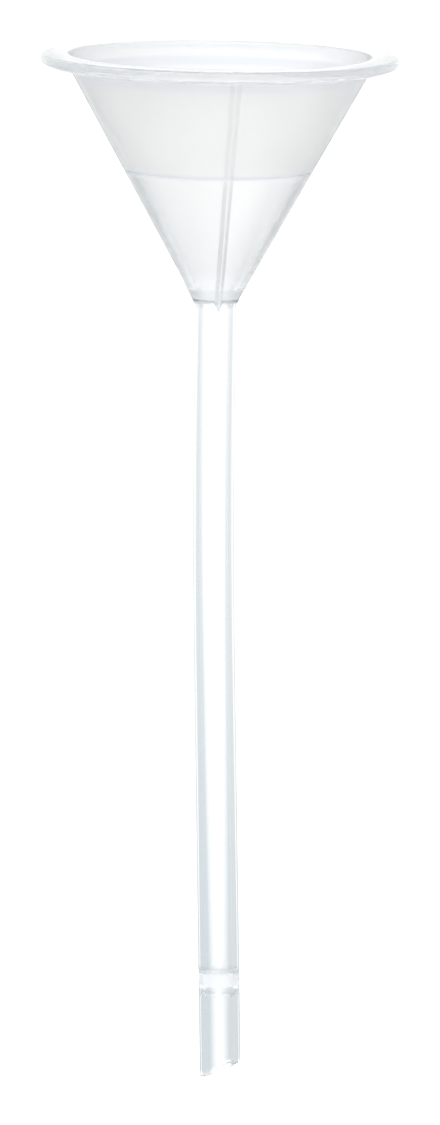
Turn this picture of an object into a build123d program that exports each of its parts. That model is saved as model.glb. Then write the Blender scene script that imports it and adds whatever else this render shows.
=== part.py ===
"""Long-stem laboratory funnel: moulded 58 degree bowl, clear stem tube and bevelled drip tip.

Units are millimetres and degrees. +Z is up along the bowl's axis. The origin is on that axis at the neck,
where the cone stops and the stem comes out. The stem hangs below it and bows slightly towards +X.
"""

from build123d import *
import os
from math import cos, radians, sin, tan

# Bowl
cone_half_angle = 29.0  # a 58 degree cone, outside and inside
bowl_height = 47.0  # neck to the top of the rim
neck_radius = 4.5  # outside, where the cone ends
wall_step = 0.2  # how much thicker the wall is above the step inside the bowl
step_height = 25.1
step_ramp = 0.5  # height over which the wall thickens

# Rim flange
rim_radius = 34.5
rim_flat_radius = 33.8  # where the flat top ends and the edge rounds over
rim_depth = 2.9  # top to the lowest point of the rounded underside
rim_edge_depth = 1.2  # top to the widest point
mouth_round = 0.5

# Ribs that hold the cone off its seat, so that air can leave
rib_count = 3
first_rib_angle = -83.6  # from +X
rib_height = 0.95  # measured level, out from the cone to the unrounded ridge
rib_root = 0.8  # how far the rib starts inside the wall
rib_top_width = 2.2
rib_bottom_width = 1.5
rib_top = 45.0  # ends inside the flange
rib_bottom = -2.8  # ends inside the stem, so the rib runs out to a point on it
rib_round = 0.25

# Stem
stem_radius = 4.0
bore_radius = 2.75
stem_length = 151.5  # neck to the tip's longest point, along the stem
socket_land = 0.15  # flat left at the top of the countersunk tube
bow_start = 12.0  # below the neck
bow_length = 60.0
bow_angle = 1.75  # between the bowl's axis and the lower stem
neck_weld_depth = 0.8
tip_weld_start = 130.0  # below the neck, along the stem
tip_weld_length = 4.6
tip_weld_waist = 0.08  # how far the fused band is drawn in
bevel_angle = 21.0

# Worked out from the above
cone_slope = tan(radians(cone_half_angle))
level_step = wall_step / cos(radians(cone_half_angle))
socket_radius = stem_radius - socket_land
socket_depth = (socket_radius - bore_radius) / cone_slope
bow_radius = bow_length / radians(bow_angle)
lower_stem_start = bow_start + bow_length
drip_tip_start = tip_weld_start + tip_weld_length
across = Vector(cos(radians(bow_angle)), 0, sin(radians(bow_angle)))
down = Vector(sin(radians(bow_angle)), 0, -cos(radians(bow_angle)))


def outside(height):
    """The point of the cone's outside at this height."""
    return (neck_radius + height * cone_slope, height)


def inside(height):
    """The point of the cone's inside below the step. The cone runs out into the bore at the neck."""
    return (bore_radius + height * cone_slope, height)


def upper_inside(height):
    """The point of the cone's inside above the step, where the wall is thicker."""
    return (bore_radius + height * cone_slope - level_step, height)


def rib_corners(height, width):
    """The corners of a rib's level section, which points along +X."""
    surface = outside(height)[0]
    return [
        (surface - rib_root, -width / 2),
        (surface, -width / 2),
        (surface + rib_height, 0),
        (surface, width / 2),
        (surface - rib_root, width / 2),
    ]


def on_lower_stem(distance):
    """The point on the straight lower stem's axis this far below the neck, along the stem."""
    turn = radians(bow_angle)
    bow_end = Vector(bow_radius * (1 - cos(turn)), 0, -bow_start - bow_radius * sin(turn))
    return bow_end + down * (distance - lower_stem_start)


def tube_section():
    """The tube's ring-shaped section."""
    Circle(stem_radius)
    Circle(bore_radius, mode=Mode.SUBTRACT)


# One vent rib, pointing along +X
with BuildPart() as rib:
    for height, width in ((rib_bottom, rib_bottom_width), (rib_top, rib_top_width)):
        with BuildSketch(Plane.XY.offset(height)):
            with BuildLine():
                Polyline(*rib_corners(height, width), close=True)
            make_face()
    loft(ruled=True)
    long_edges = rib.edges().sort_by(SortBy.LENGTH)[-5:]
    fillet(long_edges.sort_by(Axis.X)[-1], rib_round)

# Bowl: cone, flange, ribs and neck socket, moulded in one
with BuildPart() as bowl:
    with BuildSketch(Plane.XZ) as bowl_profile:
        with BuildLine():
            underside_start = outside(bowl_height - rim_depth)
            widest_height = bowl_height - rim_edge_depth
            mouth = upper_inside(bowl_height)
            Polyline((socket_radius, socket_depth), (stem_radius, socket_depth), (stem_radius, 0), outside(0))
            Line(outside(0), underside_start)
            EllipticalCenterArc(
                (underside_start[0], widest_height),
                rim_radius - underside_start[0],
                rim_depth - rim_edge_depth,
                start_angle=-90,
                arc_size=90,
            )
            EllipticalCenterArc(
                (rim_flat_radius, widest_height),
                rim_radius - rim_flat_radius,
                rim_edge_depth,
                start_angle=0,
                arc_size=90,
            )
            Polyline(
                (rim_flat_radius, bowl_height),
                mouth,
                upper_inside(step_height + step_ramp / 2),
                inside(step_height - step_ramp / 2),
                (socket_radius, socket_depth),
            )
        make_face()
        fillet(bowl_profile.vertices().sort_by_distance(mouth)[0], mouth_round)
    revolve(axis=Axis.Z)
    with PolarLocations(0, rib_count, start_angle=first_rib_angle):
        add(rib.part)
    with Locations((0, 0, socket_depth)):
        Cylinder(
            stem_radius,
            socket_depth - rib_bottom,
            align=(Align.CENTER, Align.CENTER, Align.MAX),
            mode=Mode.SUBTRACT,
        )

# Stem tube: countersunk in its socket, straight below the neck, then bowed, then straight again
with BuildPart() as stem_tube:
    with BuildSketch(Plane.XZ):
        with BuildLine():
            Polyline(
                inside(0),
                (socket_radius, socket_depth),
                (stem_radius, socket_depth),
                (stem_radius, -bow_start),
                (bore_radius, -bow_start),
                close=True,
            )
        make_face()
    revolve(axis=Axis.Z)
    with BuildSketch(Plane.XY.offset(-bow_start)):
        tube_section()
    revolve(axis=Axis((bow_radius, 0, -bow_start), (0, -1, 0)), revolution_arc=bow_angle)
    with BuildSketch(Plane(on_lower_stem(lower_stem_start), x_dir=across, z_dir=down)):
        tube_section()
    extrude(amount=tip_weld_start - lower_stem_start)

# Neck weld: a rounded fillet under the neck, interrupted by the feet of the ribs
with BuildPart() as neck_weld:
    with BuildSketch(Plane.XZ):
        with BuildLine():
            Polyline((stem_radius, -neck_weld_depth), (stem_radius, 0), (neck_radius, 0))
            EllipticalCenterArc(
                (stem_radius, 0),
                neck_radius - stem_radius,
                neck_weld_depth,
                start_angle=-90,
                arc_size=90,
            )
        make_face()
    revolve(axis=Axis.Z)
    with PolarLocations(0, rib_count, start_angle=first_rib_angle):
        add(rib.part, mode=Mode.SUBTRACT)

# Tip weld: the band where the tube and its end piece are fused, drawn in very slightly
with BuildPart() as tip_weld:
    weld_origin = on_lower_stem(tip_weld_start)
    with BuildSketch(Plane(weld_origin, x_dir=across, z_dir=(0, 1, 0))):
        with BuildLine():
            Polyline(
                (stem_radius, 0),
                (bore_radius, 0),
                (bore_radius, tip_weld_length),
                (stem_radius, tip_weld_length),
            )
            ThreePointArc(
                (stem_radius, 0),
                (stem_radius - tip_weld_waist, tip_weld_length / 2),
                (stem_radius, tip_weld_length),
            )
        make_face()
    revolve(axis=Axis(weld_origin, down))

# Drip tip: cut off at a slant, longest on the side away from the bow
with BuildPart() as drip_tip:
    with BuildSketch(Plane(on_lower_stem(drip_tip_start), x_dir=across, z_dir=down)):
        tube_section()
    extrude(amount=stem_length - drip_tip_start)
    longest_point = on_lower_stem(stem_length) - across * stem_radius
    bevel_normal = down * cos(radians(bevel_angle)) + across * sin(radians(bevel_angle))
    split(bisect_by=Plane(longest_point, z_dir=bevel_normal), keep=Keep.BOTTOM)

bowl.part.label = "bowl"
stem_tube.part.label = "stem_tube"
neck_weld.part.label = "neck_weld"
tip_weld.part.label = "tip_weld"
drip_tip.part.label = "drip_tip"

os.makedirs("parts", exist_ok=True)
export_step(bowl.part, "parts/bowl.step")
export_step(stem_tube.part, "parts/stem_tube.step")
export_step(neck_weld.part, "parts/neck_weld.step")
export_step(tip_weld.part, "parts/tip_weld.step")
export_step(drip_tip.part, "parts/drip_tip.step")
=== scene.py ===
"""Looks of the long-stem laboratory funnel: a milky moulded bowl with a clear stem, over a white table.

Lengths are in metres, in the part's frame: +Z up the bowl's axis, the origin on it at the neck.
"""

from math import asin, cos, pi, radians, sin, sqrt, tan

import bpy
from mathutils import Matrix, Vector


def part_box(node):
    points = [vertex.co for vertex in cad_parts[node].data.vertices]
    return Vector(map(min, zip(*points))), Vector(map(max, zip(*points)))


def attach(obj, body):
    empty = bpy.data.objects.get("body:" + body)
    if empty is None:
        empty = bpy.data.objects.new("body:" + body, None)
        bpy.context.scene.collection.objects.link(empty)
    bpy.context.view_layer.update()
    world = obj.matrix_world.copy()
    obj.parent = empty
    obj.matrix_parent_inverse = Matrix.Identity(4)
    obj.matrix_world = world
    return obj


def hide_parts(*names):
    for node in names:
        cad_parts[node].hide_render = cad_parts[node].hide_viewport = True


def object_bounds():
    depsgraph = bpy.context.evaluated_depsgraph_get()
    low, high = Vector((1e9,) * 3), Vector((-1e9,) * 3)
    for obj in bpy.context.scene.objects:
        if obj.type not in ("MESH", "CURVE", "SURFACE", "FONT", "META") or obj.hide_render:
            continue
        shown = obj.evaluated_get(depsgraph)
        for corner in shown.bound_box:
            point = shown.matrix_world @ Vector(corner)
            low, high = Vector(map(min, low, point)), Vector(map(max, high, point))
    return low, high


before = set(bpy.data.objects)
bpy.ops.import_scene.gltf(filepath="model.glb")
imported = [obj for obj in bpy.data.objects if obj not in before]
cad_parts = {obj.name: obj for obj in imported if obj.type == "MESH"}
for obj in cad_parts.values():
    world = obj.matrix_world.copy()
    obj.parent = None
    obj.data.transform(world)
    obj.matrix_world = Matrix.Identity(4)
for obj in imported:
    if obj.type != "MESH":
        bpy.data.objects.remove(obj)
cad_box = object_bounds()

MM = 0.001

# Bowl, as in the CAD part
cone_half_angle = radians(29)
neck_radius = 4.5 * MM
bore_radius = 2.75 * MM
wall_step = 0.2 * MM
step_height = 25.1 * MM
step_ramp = 0.5 * MM
rim_flat_radius = 33.8 * MM
rim_depth = 2.9 * MM
rim_edge_depth = 1.2 * MM
mouth_round = 0.5 * MM
rib_count = 3
first_rib_angle = radians(-83.6)
rib_height = 0.95 * MM
rib_top_width = 2.2 * MM
rib_bottom_width = 1.5 * MM

# Stem, as in the CAD part
stem_radius = 4.0 * MM
stem_length = 151.5 * MM
socket_radius = 3.85 * MM
bow_start = 12 * MM
bow_length = 60 * MM
bow_angle = radians(1.75)
neck_weld_depth = 0.8 * MM
tip_weld_start = 130 * MM
tip_weld_length = 4.6 * MM
tip_weld_waist = 0.08 * MM
bevel_slope = tan(radians(21))

# Worked out from the frame and the above
bowl_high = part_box("bowl")[1]
bowl_height = bowl_high.z
rim_radius = bowl_high.x
cone_slope = tan(cone_half_angle)
level_step = wall_step / cos(cone_half_angle)
socket_depth = (socket_radius - bore_radius) / cone_slope
underside_height = bowl_height - rim_depth
underside_radius = neck_radius + underside_height * cone_slope
widest_height = bowl_height - rim_edge_depth
bow_radius = bow_length / bow_angle
tip_start = tip_weld_start + tip_weld_length

joint_overlap = 0.015 * MM  # of bonded pieces, so that light passes straight from one to the next
scarf = 1.0 * MM  # how much lower a fused joint in the stem is at the bore than outside
neck_scarf = 0.4 * MM  # the same, from the neck's outside to its socket
edge_round = 0.12 * MM  # on the cut end of the drip tip
rib_border = 1.3  # how far round a rib's narrow faces go, where 1 is its foot


# ---------------------------------------------------------------- meshes


def add_mesh(name, points, faces):
    """A new object in the scene from points and faces."""
    mesh = bpy.data.meshes.new(name)
    mesh.from_pydata(points, [], faces)
    thing = bpy.data.objects.new(name, mesh)
    bpy.context.scene.collection.objects.link(thing)
    return thing


def add_piece(name, points, faces):
    """The same for a piece of the funnel: smooth, with sharp edges kept."""
    piece = add_mesh(name, points, faces)
    piece.data.shade_smooth()
    piece.data.set_sharp_from_angle(angle=radians(35))
    return piece


def closed_surface(name, loops):
    """A closed surface from loops of points: each loop is joined to the next, and the last to the first."""
    count = len(loops[0])
    points = [point for loop in loops for point in loop]
    faces = []
    for i in range(len(loops)):
        here = i * count
        there = (i + 1) % len(loops) * count
        for j in range(count):
            after = (j + 1) % count
            faces.append((here + j, there + j, there + after, here + after))
    return add_piece(name, points, faces)


def spread(start, end, count):
    """count numbers from start to end, both included."""
    return [start + (end - start) * i / (count - 1) for i in range(count)]


def rib_share(across):
    """How high a rib stands, as a share of its full height. across is 0 on its ridge and 1 at its foot."""
    rounding = 0.16
    return max(0.0, 1 - sqrt(across * across + rounding * rounding))


def rib_width(height):
    """A rib's width at the cone's surface: it narrows towards the neck."""
    share = height / underside_height
    return rib_bottom_width + (rib_top_width - rib_bottom_width) * share


def bowl_columns():
    """Places round the bowl as (rib number, across the rib, share of the way on to the next rib)."""
    over_rib = [-rib_border, -1.1, -1.02, -1, -0.9, -0.75, -0.6, -0.45, -0.3, -0.2, -0.1, 0]
    over_rib += [-across for across in reversed(over_rib[:-1])]
    columns = []
    for rib in range(rib_count):
        columns += [(rib, across, 0.0) for across in over_rib]
        columns += [(rib, over_rib[-1], share) for share in spread(0, 1, 74)[1:-1]]
    return columns


def bowl_profile(across):
    """The bowl's section as (radius, height) points, from the neck up the outside and down the inside.

    across is 0 on a rib's ridge and 1 at its foot, and over 1 between the ribs.
    """
    on_rib = abs(across) <= 1
    ridge = rib_height * rib_share(across) if on_rib else 0.0
    bottom = 0.0
    socket_bottom = -neck_scarf
    if on_rib:  # a rib runs on down until it meets the stem
        bottom = (stem_radius - joint_overlap / 2 - neck_radius - ridge) / cone_slope
        socket_bottom = bottom
    points = []
    blend_height = 3 * MM
    for height in spread(bottom, blend_height, 9) + spread(blend_height, underside_height, 60)[1:-1]:
        points.append((neck_radius + height * cone_slope + ridge, height))
    reach = rim_radius - underside_radius
    first_turn = asin(ridge / reach)
    for turn in spread(first_turn, pi / 2, 20):
        drop = (rim_depth - rim_edge_depth) * cos(turn)
        points.append((underside_radius + reach * sin(turn), widest_height - drop))
    for turn in spread(0, pi / 2, 10)[1:]:
        outward = (rim_radius - rim_flat_radius) * cos(turn)
        points.append((rim_flat_radius + outward, widest_height + rim_edge_depth * sin(turn)))
    mouth_radius = bore_radius + bowl_height * cone_slope - level_step
    half_turn = (pi / 2 - cone_half_angle) / 2
    tangent = mouth_round * tan(half_turn)
    round_radius = mouth_radius + tangent
    for radius in spread(rim_flat_radius, round_radius, 6)[1:-1]:
        points.append((radius, bowl_height))
    for turn in spread(0, 2 * half_turn, 7):
        points.append((round_radius - mouth_round * sin(turn), bowl_height - mouth_round * (1 - cos(turn))))
    step_top = step_height + step_ramp / 2
    step_bottom = step_height - step_ramp / 2
    for height in spread(points[-1][1], step_top, 26)[1:]:
        points.append((bore_radius + height * cone_slope - level_step, height))
    for height in spread(step_bottom, socket_depth, 26):
        points.append((bore_radius + height * cone_slope, height))
    for height in spread(socket_depth, socket_bottom, 5):
        points.append((stem_radius - joint_overlap, height))
    return points


def make_bowl():
    """Cone, rim, ribs and neck socket in one closed surface."""
    loops = []
    for rib, across, share in bowl_columns():
        loop = []
        for radius, height in bowl_profile(across):
            level = min(max(height, 0.0), underside_height)
            half = rib_width(level) / 2 / (neck_radius + level * cone_slope)
            edge = rib_border * half
            if share == 0:
                angle = across * half
            else:
                angle = edge + (2 * pi / rib_count - 2 * edge) * share
            angle += first_rib_angle + rib * 2 * pi / rib_count
            loop.append((radius * cos(angle), radius * sin(angle), height))
        loops.append(loop)
    return closed_surface("bowl_moulding", loops)


def on_stem(distance):
    """The stem's centre this far below the neck along it, and the direction across it in the bow's plane."""
    turn = min(max(distance - bow_start, 0.0), bow_length) / bow_radius
    straight_above = min(distance, bow_start)
    straight_below = max(distance - bow_start - bow_length, 0.0)
    x = bow_radius * (1 - cos(turn)) + straight_below * sin(turn)
    z = -straight_above - bow_radius * sin(turn) - straight_below * cos(turn)
    return Vector((x, 0, z)), Vector((cos(turn), 0, sin(turn)))


def make_tube(name, profile, bevelled=False):
    """A closed tube along the stem from a section of (radius, distance below the neck) points."""
    loops = []
    sides = 160
    slant_start = tip_start + scarf + joint_overlap
    for radius, distance in profile:
        loop = []
        for side in range(sides):
            angle = 2 * pi * side / sides
            along = distance
            if bevelled and distance > slant_start:
                full = (distance - slant_start) / (stem_length - slant_start)
                along -= full * (radius * cos(angle) + stem_radius) * bevel_slope
            centre, across = on_stem(along)
            loop.append(centre + across * radius * cos(angle) + Vector((0, radius * sin(angle), 0)))
        loops.append(loop)
    return closed_surface(name, loops)


def rounded_end(outer, inner, distance):
    """Points round a tube's lower end, from the outside to the inside, with both edges rounded."""
    points = []
    for turn in spread(0, pi / 2, 4):
        back = edge_round * (1 - sin(turn))
        points.append((outer - edge_round * (1 - cos(turn)), distance - back))
    for turn in spread(0, pi / 2, 4):
        back = edge_round * (1 - cos(turn))
        points.append((inner + edge_round * (1 - sin(turn)), distance - back))
    return points


def make_stem_tube():
    """The tube from its countersunk top end, in the socket, to the tip weld."""
    top = -socket_depth - joint_overlap
    end = tip_weld_start + joint_overlap
    profile = [(stem_radius, distance) for distance in spread(top, end, 70)]
    profile += [(bore_radius, distance) for distance in spread(end + scarf, 0, 70)]
    profile.append((socket_radius, top))
    return make_tube("clear_stem_tube", profile)


def make_tip_weld():
    """The fused band, drawn in very slightly at its middle."""
    start = tip_weld_start
    end = tip_start + joint_overlap
    profile = []
    for share in spread(0, 1, 17):
        radius = stem_radius - tip_weld_waist * sin(pi * share)
        profile.append((radius, start + (end - start) * share))
    profile += [(bore_radius, distance) for distance in spread(end + scarf, start + scarf, 17)]
    return make_tube("fused_tip_band", profile)


def make_drip_tip():
    """The end piece, with its slanting cut."""
    profile = [(stem_radius, distance) for distance in spread(tip_start, stem_length - edge_round, 20)[:-1]]
    profile += rounded_end(stem_radius, bore_radius, stem_length)
    inner_end = tip_start + scarf
    profile += [(bore_radius, distance) for distance in spread(stem_length - edge_round, inner_end, 20)[1:]]
    return make_tube("bevelled_drip_tip", profile, bevelled=True)


def make_neck_weld():
    """The rounded bead under the neck: one arc between each two ribs. Its top slopes down to the stem."""
    bead = []
    for turn in spread(0, pi / 2, 9):
        outward = (neck_radius - stem_radius) * cos(turn)
        bead.append((stem_radius + outward, -neck_weld_depth * sin(turn)))
    bead.append((stem_radius - joint_overlap, -neck_weld_depth))
    bead.append((stem_radius - joint_overlap, joint_overlap - neck_scarf))
    bead.append((neck_radius, joint_overlap))
    rib_half = rib_bottom_width / 2 / neck_radius
    points = []
    faces = []
    for rib in range(rib_count):
        start = first_rib_angle + rib * 2 * pi / rib_count + rib_half
        end = start + 2 * pi / rib_count - 2 * rib_half
        first = len(points)
        angles = spread(start, end, 60)
        for angle in angles:
            points += [(radius * cos(angle), radius * sin(angle), height) for radius, height in bead]
        size = len(bead)
        for i in range(len(angles) - 1):
            for j in range(size):
                here = first + i * size
                after = (j + 1) % size
                faces.append((here + j, here + after, here + size + after, here + size + j))
        faces.append(tuple(first + j for j in reversed(range(size))))
        last = first + (len(angles) - 1) * size
        faces.append(tuple(last + j for j in range(size)))
    return add_piece("neck_weld_bead", points, faces)


# ---------------------------------------------------------------- materials

plastic_ior = 1.49


def new_material(name):
    """A material with only a Principled shader, and its node tree."""
    material = bpy.data.materials.new(name)
    material.use_nodes = True
    tree = material.node_tree
    tree.nodes.clear()
    shader = tree.nodes.new("ShaderNodeBsdfPrincipled")
    output = tree.nodes.new("ShaderNodeOutputMaterial")
    tree.links.new(shader.outputs["BSDF"], output.inputs["Surface"])
    return material, tree, shader


def noise(tree, scale, detail=3.0, stretch=(1, 1, 1)):
    """Noise in the part's frame, stretched along an axis if asked."""
    coordinates = tree.nodes.new("ShaderNodeTexCoord")
    mapping = tree.nodes.new("ShaderNodeMapping")
    mapping.inputs["Scale"].default_value = stretch
    texture = tree.nodes.new("ShaderNodeTexNoise")
    texture.inputs["Scale"].default_value = scale
    texture.inputs["Detail"].default_value = detail
    tree.links.new(coordinates.outputs["Object"], mapping.inputs["Vector"])
    tree.links.new(mapping.outputs["Vector"], texture.inputs["Vector"])
    return texture.outputs["Fac"]


def feed(tree, socket, value):
    """Gives a socket a plain number or another node's result."""
    if isinstance(value, (int, float)):
        socket.default_value = value
    else:
        tree.links.new(value, socket)


def remap(tree, value, low, high, to_low, to_high, smooth=False):
    """value taken from the range low to high into to_low to to_high."""
    node = tree.nodes.new("ShaderNodeMapRange")
    node.interpolation_type = "SMOOTHSTEP" if smooth else "LINEAR"
    feed(tree, node.inputs["Value"], value)
    feed(tree, node.inputs["From Min"], low)
    feed(tree, node.inputs["From Max"], high)
    feed(tree, node.inputs["To Min"], to_low)
    feed(tree, node.inputs["To Max"], to_high)
    return node.outputs["Result"]


def mix_colours(tree, factor, first, second, blend="MIX"):
    """A mix of two colours. Each is a plain colour or another node's result."""
    node = tree.nodes.new("ShaderNodeMix")
    node.data_type = "RGBA"
    node.blend_type = blend
    feed(tree, node.inputs["Factor"], factor)
    for socket, colour in ((node.inputs["A"], first), (node.inputs["B"], second)):
        if isinstance(colour, tuple):
            socket.default_value = (*colour, 1)
        else:
            tree.links.new(colour, socket)
    return node.outputs["Result"]


def calculate(tree, operation, first, second=0.0):
    """A Math node's result. Each input is a number or another node's result."""
    node = tree.nodes.new("ShaderNodeMath")
    node.operation = operation
    feed(tree, node.inputs[0], first)
    feed(tree, node.inputs[1], second)
    return node.outputs[0]


def distance_from(tree, value, level):
    """How far value is from level, either way."""
    return calculate(tree, "ABSOLUTE", calculate(tree, "SUBTRACT", value, level))


def part_place(tree):
    """X, Y and Z in the part's frame, and the distance from the bowl's axis."""
    coordinates = tree.nodes.new("ShaderNodeTexCoord")
    split = tree.nodes.new("ShaderNodeSeparateXYZ")
    tree.links.new(coordinates.outputs["Object"], split.inputs["Vector"])
    x, y, z = split.outputs
    squares = calculate(tree, "ADD", calculate(tree, "MULTIPLY", x, x), calculate(tree, "MULTIPLY", y, y))
    return x, y, z, calculate(tree, "SQRT", squares)


def add_bump(tree, shader, height, strength, distance):
    """Fine relief on the surface."""
    node = tree.nodes.new("ShaderNodeBump")
    node.inputs["Strength"].default_value = strength
    node.inputs["Distance"].default_value = distance
    tree.links.new(height, node.inputs["Height"])
    tree.links.new(node.outputs["Normal"], shader.inputs["Normal"])


def add_absorption(tree, colour, density):
    """Darkens light with the length of its way through the plastic."""
    volume = tree.nodes.new("ShaderNodeVolumeAbsorption")
    volume.inputs["Color"].default_value = (*colour, 1)
    volume.inputs["Density"].default_value = density
    tree.links.new(volume.outputs["Volume"], tree.nodes["Material Output"].inputs["Volume"])


def height_tints(tree, height, stops):
    """A colour that changes with the height up the bowl, from (millimetres, colour) stops."""
    node = tree.nodes.new("ShaderNodeValToRGB")
    elements = node.color_ramp.elements
    while len(elements) < len(stops):
        elements.new(0.5)
    for element, (level, colour) in zip(elements, stops):
        element.position = level * MM / bowl_height
        element.color = (*colour, 1)
    tree.links.new(remap(tree, height, 0, bowl_height, 0, 1), node.inputs["Fac"])
    return node.outputs["Color"]


def bowl_material():
    """Milky moulded plastic: hazy on the cone above the step, clearer below it and clearest on the flange.
    Its colour holds painted shade: darker towards the flange's underside, a bluish band inside the mouth at
    the flange's root, and a dark line along the rim's top edge.
    """
    material, tree, shader = new_material("milky_polypropylene")
    height, radius = part_place(tree)[2:]

    # Where each finish is, from 0 to 1
    above_step = remap(tree, height, step_height - step_ramp, step_height + step_ramp, 0, 1)
    below_flange = remap(tree, height, underside_height - 0.6 * MM, underside_height + 0.4 * MM, 1, 0)
    haze = calculate(tree, "MULTIPLY", above_step, below_flange)
    top_face = remap(tree, height, bowl_height - 0.25 * MM, bowl_height - 0.05 * MM, 0, 1)
    flange_edge = remap(tree, radius, 29.2 * MM, 30.2 * MM, 0, 1)
    cone_radius = remap(tree, height, 0, bowl_height, bore_radius, bore_radius + bowl_height * cone_slope)
    off_inside = calculate(tree, "SUBTRACT", radius, cone_radius)
    inside_wall = remap(tree, off_inside, 0.3 * MM, 0.6 * MM, 1, 0)
    mouth = calculate(tree, "MULTIPLY", inside_wall, remap(tree, height, 40 * MM, 43 * MM, 0, 1))
    # Painted shade: a band inside the mouth just under the flange's root
    off_root_shade_centre = distance_from(tree, height, underside_height - 0.9 * MM)
    flange_root_shade = calculate(tree, "MULTIPLY", mouth, remap(tree, off_root_shade_centre, 0.5 * MM, 1.4 * MM, 1, 0))
    neck = remap(tree, height, socket_depth, socket_depth + 2 * MM, 1, 0)
    below_step = remap(tree, above_step, 0, 1, 1, 0)

    roughness = remap(tree, haze, 0, 1, 0.12, 0.42)
    for finish, rough in ((below_step, 0.24), (flange_edge, 0.18), (mouth, 0.6), (neck, 0.3)):
        roughness = calculate(tree, "MAXIMUM", roughness, calculate(tree, "MULTIPLY", finish, rough))
    tree.links.new(roughness, shader.inputs["Roughness"])

    milk = calculate(tree, "MAXIMUM", haze, top_face)
    clear = remap(tree, milk, 0, 1, 0.93, 0.86)
    clear = calculate(tree, "MINIMUM", clear, remap(tree, mouth, 0, 1, 1, 0.8))
    tree.links.new(clear, shader.inputs["Transmission Weight"])

    tint = height_tints(
        tree,
        height,
        [
            (0, (0.98, 0.99, 1.0)),
            (2, (0.98, 0.99, 1.0)),
            (5, (0.90, 0.905, 0.905)),
            (24.6, (0.90, 0.905, 0.905)),
            (24.8, (0.80, 0.815, 0.84)),
            (25.4, (0.80, 0.815, 0.84)),
            (25.6, (0.89, 0.89, 0.885)),
            # painted shade: darker from here up to the flange's underside
            (33, (0.885, 0.885, 0.877)),
            (42, (0.86, 0.86, 0.855)),
            (43.8, (0.80, 0.805, 0.81)),
            (44.4, (0.95, 0.955, 0.96)),
            (46.6, (0.95, 0.955, 0.96)),
            # painted shade: a dark line along the rim's top edge
            (46.9, (0.76, 0.77, 0.78)),
        ],
    )
    cloud = remap(tree, noise(tree, 60), 0.35, 0.65, 0, 1)
    clouds = mix_colours(tree, cloud, (0.985, 0.985, 0.985), (1, 1, 1))
    tint = mix_colours(tree, 1, tint, clouds, blend="MULTIPLY")
    # Painted shade: bluish grey in the band at the flange's root, inside the mouth
    tint = mix_colours(tree, flange_root_shade, tint, (0.74, 0.775, 0.82))
    tree.links.new(tint, shader.inputs["Base Color"])

    shader.inputs["IOR"].default_value = plastic_ior
    add_bump(tree, shader, noise(tree, 900, 4), 0.15, 0.02 * MM)
    add_absorption(tree, (0.64, 0.71, 0.73), 24)
    return material


def cut_face(tree):
    """1 on the drip tip's slanting cut and 0 above it."""
    centre, across = on_stem(stem_length)
    down = Vector((across.z, 0, -across.x))
    facing = (down + across * bevel_slope).normalized()
    longest_point = centre - across * stem_radius
    coordinates = tree.nodes.new("ShaderNodeTexCoord")
    along = tree.nodes.new("ShaderNodeVectorMath")
    along.operation = "DOT_PRODUCT"
    along.inputs[1].default_value = facing
    tree.links.new(coordinates.outputs["Object"], along.inputs[0])
    reach = facing.dot(longest_point)
    return remap(tree, along.outputs["Value"], reach - 0.1 * MM, reach - 0.04 * MM, 0, 1)


def tube_material(name, cut=False):
    """Clear extruded plastic with faint lines drawn along it. A cut end is matte."""
    material, tree, shader = new_material(name)
    lines = noise(tree, 1400, 2, stretch=(1, 1, 0.01))
    tint = mix_colours(tree, lines, (0.97, 0.985, 0.99), (0.99, 0.995, 1.0))
    tree.links.new(tint, shader.inputs["Base Color"])
    roughness = remap(tree, noise(tree, 200), 0.3, 0.7, 0.02, 0.06)
    if cut:
        matte = cut_face(tree)
        roughness = calculate(tree, "MAXIMUM", roughness, calculate(tree, "MULTIPLY", matte, 0.55))
        tree.links.new(remap(tree, matte, 0, 1, 1, 0.55), shader.inputs["Transmission Weight"])
    else:
        shader.inputs["Transmission Weight"].default_value = 1
    tree.links.new(roughness, shader.inputs["Roughness"])
    shader.inputs["IOR"].default_value = plastic_ior
    add_bump(tree, shader, lines, 0.1, 0.01 * MM)
    add_absorption(tree, (0.7, 0.78, 0.85), 3)
    return material


def weld_material(name, clear_ends=False):
    """Fused plastic, clear with a rough surface. If it has clear ends, it is milky in its middle only."""
    material, tree, shader = new_material(name)
    ripple = noise(tree, 350)
    tint = mix_colours(tree, ripple, (0.96, 0.98, 0.985), (0.99, 0.995, 1.0))
    tree.links.new(tint, shader.inputs["Base Color"])
    roughness = remap(tree, ripple, 0.3, 0.7, 0.25, 0.4)
    if clear_ends:
        height = part_place(tree)[2]
        middle = on_stem((tip_weld_start + tip_start) / 2)[0].z
        off_middle = distance_from(tree, height, middle)
        fused = remap(tree, off_middle, 0.9 * MM, 2.1 * MM, 1, 0.05, smooth=True)
        roughness = calculate(tree, "MULTIPLY", roughness, fused)
        tree.links.new(remap(tree, fused, 0, 1, 1, 0.8), shader.inputs["Transmission Weight"])
    else:
        shader.inputs["Transmission Weight"].default_value = 1
    tree.links.new(roughness, shader.inputs["Roughness"])
    shader.inputs["IOR"].default_value = plastic_ior
    add_bump(tree, shader, ripple, 0.05, 0.02 * MM)
    return material


def table_material():
    """White table top that glows a little, as a light table does."""
    material, tree, shader = new_material("white_table")
    tint = mix_colours(tree, noise(tree, 2), (0.85, 0.85, 0.85), (0.88, 0.88, 0.88))
    tree.links.new(tint, shader.inputs["Base Color"])
    shader.inputs["Roughness"].default_value = 0.7
    shader.inputs["Emission Color"].default_value = (1, 1, 1, 1)
    shader.inputs["Emission Strength"].default_value = 0.6
    return material


# ---------------------------------------------------------------- pieces


def place(piece, node, material):
    """Puts a piece on the body in place of its CAD node."""
    piece.data.materials.append(material)
    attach(piece, "root")
    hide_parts(node)


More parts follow.
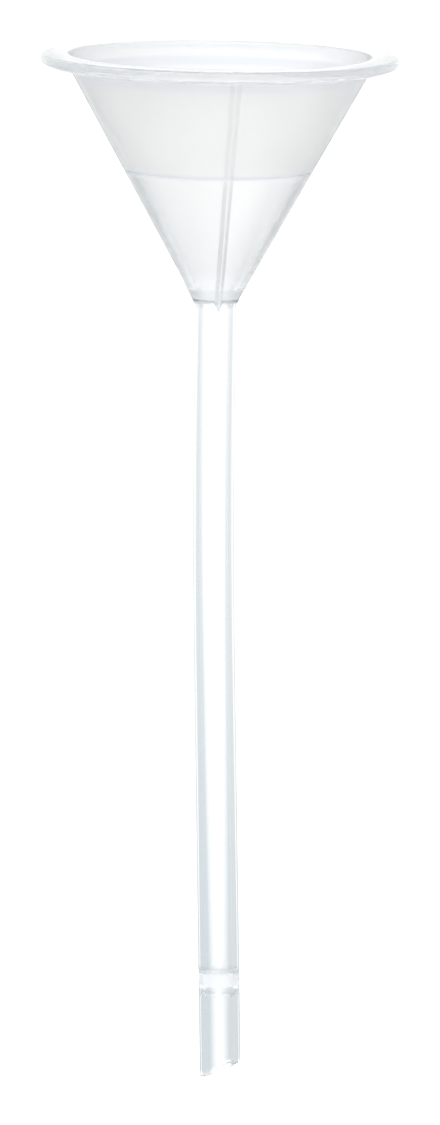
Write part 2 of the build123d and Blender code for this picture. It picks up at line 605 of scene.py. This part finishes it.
place(make_bowl(), "bowl", bowl_material())
place(make_stem_tube(), "stem_tube", tube_material("clear_drawn_tube"))
place(make_neck_weld(), "neck_weld", weld_material("fused_neck_plastic"))
place(make_tip_weld(), "tip_weld", weld_material("fused_tip_plastic", clear_ends=True))
place(make_drip_tip(), "drip_tip", tube_material("clear_cut_tube", cut=True))


# ---------------------------------------------------------------- stage and light

table_drop = 100 * MM  # the funnel is held, with its tip this far above the table
table_size = 60.0

half_size = table_size / 2
table_height = cad_box[0].z - table_drop
table_corners = [
    (-half_size, -half_size, table_height),
    (half_size, -half_size, table_height),
    (half_size, half_size, table_height),
    (-half_size, half_size, table_height),
]
table = add_mesh("table", table_corners, [(0, 1, 2, 3)])
table.data.materials.append(table_material())


def stage_light(name, points, faces, colour, strength):
    """A glowing cloth that the camera doesn't see. It lights the funnel and shows in it."""
    cloth = add_mesh(name, points, faces)
    material, tree, shader = new_material(name + "_cloth")
    shader.inputs["Base Color"].default_value = (0, 0, 0, 1)
    shader.inputs["Roughness"].default_value = 1
    tree.links.new(colour(tree), shader.inputs["Emission Color"])
    shader.inputs["Emission Strength"].default_value = strength
    cloth.data.materials.append(material)
    cloth.visible_camera = False
    cloth.visible_shadow = False
    return cloth


def tent_colour(tree):
    """White in front, behind and at the sides, with grey bands between that fade out at the top."""
    low = -210 * MM  # what shows in the drip tip
    high = -60 * MM  # what shows in the stem's top end
    fade_start = -56 * MM
    fade_end = -30 * MM
    x, y, level = part_place(tree)[:3]
    azimuth = calculate(tree, "ARCTAN2", x, y)
    turn = calculate(tree, "PINGPONG", azimuth, pi / 4)
    band_start = remap(tree, level, low, high, radians(-3), radians(8))
    band_full = remap(tree, level, low, high, radians(15), radians(36))
    band = remap(tree, turn, band_start, band_full, 0, 1, smooth=True)
    depth = remap(tree, level, low, high, 1.0, 0.8)
    depth = calculate(tree, "MULTIPLY", depth, remap(tree, level, fade_start, fade_end, 1, 0.12))
    right_side = remap(tree, x, -50 * MM, 50 * MM, 0, 1)
    grey = mix_colours(tree, right_side, (0.53, 0.575, 0.60), (0.545, 0.575, 0.59))
    return mix_colours(tree, calculate(tree, "MULTIPLY", band, depth), (1.0, 1.0, 1.0), grey)


def make_surround():
    """A round light tent, which doesn't light matte surfaces."""
    radius = 450 * MM
    top = 800 * MM
    sides = 96
    points = []
    for side in range(sides):
        angle = 2 * pi * side / sides
        points += [(radius * cos(angle), radius * sin(angle), z) for z in (table_height, top)]
    faces = []
    for side in range(sides):
        here = 2 * side
        after = 2 * ((side + 1) % sides)
        faces.append((here, after, after + 1, here + 1))
    tent = stage_light("surround", points, faces, tent_colour, 1.2)
    tent.visible_diffuse = False


make_surround()

world = bpy.data.worlds.new("studio")
world.use_nodes = True
sky = world.node_tree.nodes["Background"]
sky.inputs["Color"].default_value = (0.97, 0.98, 1.0, 1)
sky.inputs["Strength"].default_value = 1.0
bpy.context.scene.world = world


def lamp(name, position, size, power):
    """A square soft light that faces the bowl."""
    light = bpy.data.lights.new(name, "AREA")
    light.energy = power
    light.size = size
    holder = bpy.data.objects.new(name, light)
    holder.location = position
    holder.rotation_euler = (-Vector(position)).to_track_quat("-Z", "Y").to_euler()
    bpy.context.scene.collection.objects.link(holder)


lamp("key", (-0.9, -0.9, 1.3), 0.6, 3)
lamp("back", (0.8, 1.2, 1.5), 0.8, 3)


def softbox_colour(tree):
    """Nearly even white."""
    return mix_colours(tree, noise(tree, 3), (0.99, 0.99, 0.99), (1, 1, 1))


def make_overhead():
    """A softbox above the funnel, curved round its left and front."""
    radius = 440 * MM
    low = 250 * MM
    high = 620 * MM
    azimuths = spread(radians(-73), radians(-227), 49)
    points = []
    for azimuth in azimuths:
        points += [(radius * sin(azimuth), radius * cos(azimuth), z) for z in (low, high)]
    faces = [(2 * i, 2 * i + 2, 2 * i + 3, 2 * i + 1) for i in range(len(azimuths) - 1)]
    stage_light("overhead_softbox", points, faces, softbox_colour, 2.7)


make_overhead()


# ---------------------------------------------------------------- camera

camera_distance = 3.0
camera_elevation = radians(7.4)
camera_roll = radians(0.957)
seen_height = 216.3 * MM  # from the picture's top to its bottom, at the funnel
aim_right = 0.77 * MM  # from the neck to the point the camera looks at
aim_down = 50.8 * MM

back = Vector((0, -cos(camera_elevation), sin(camera_elevation)))
level_right = Vector((1, 0, 0))
level_up = back.cross(level_right)
screen_right = level_right * cos(camera_roll) + level_up * sin(camera_roll)
screen_up = back.cross(screen_right)
target = screen_right * aim_right - screen_up * aim_down
camera_data = bpy.data.cameras.new("camera")
camera_data.lens = camera_data.sensor_width * camera_distance / seen_height
camera_data.clip_start = 0.1
camera_data.clip_end = 100
camera = bpy.data.objects.new("camera", camera_data)
camera.matrix_world = Matrix.Translation(target + back * camera_distance) @ Matrix(
    (screen_right, screen_up, back)
).transposed().to_4x4()
bpy.context.scene.collection.objects.link(camera)
bpy.context.scene.camera = camera

light_bounces = 64  # light is passed on many times inside the stem's wall

scene = bpy.context.scene
scene.view_settings.view_transform = "Standard"
scene.cycles.max_bounces = light_bounces
scene.cycles.transmission_bounces = light_bounces
scene.cycles.glossy_bounces = light_bounces
scene.cycles.use_denoising = True
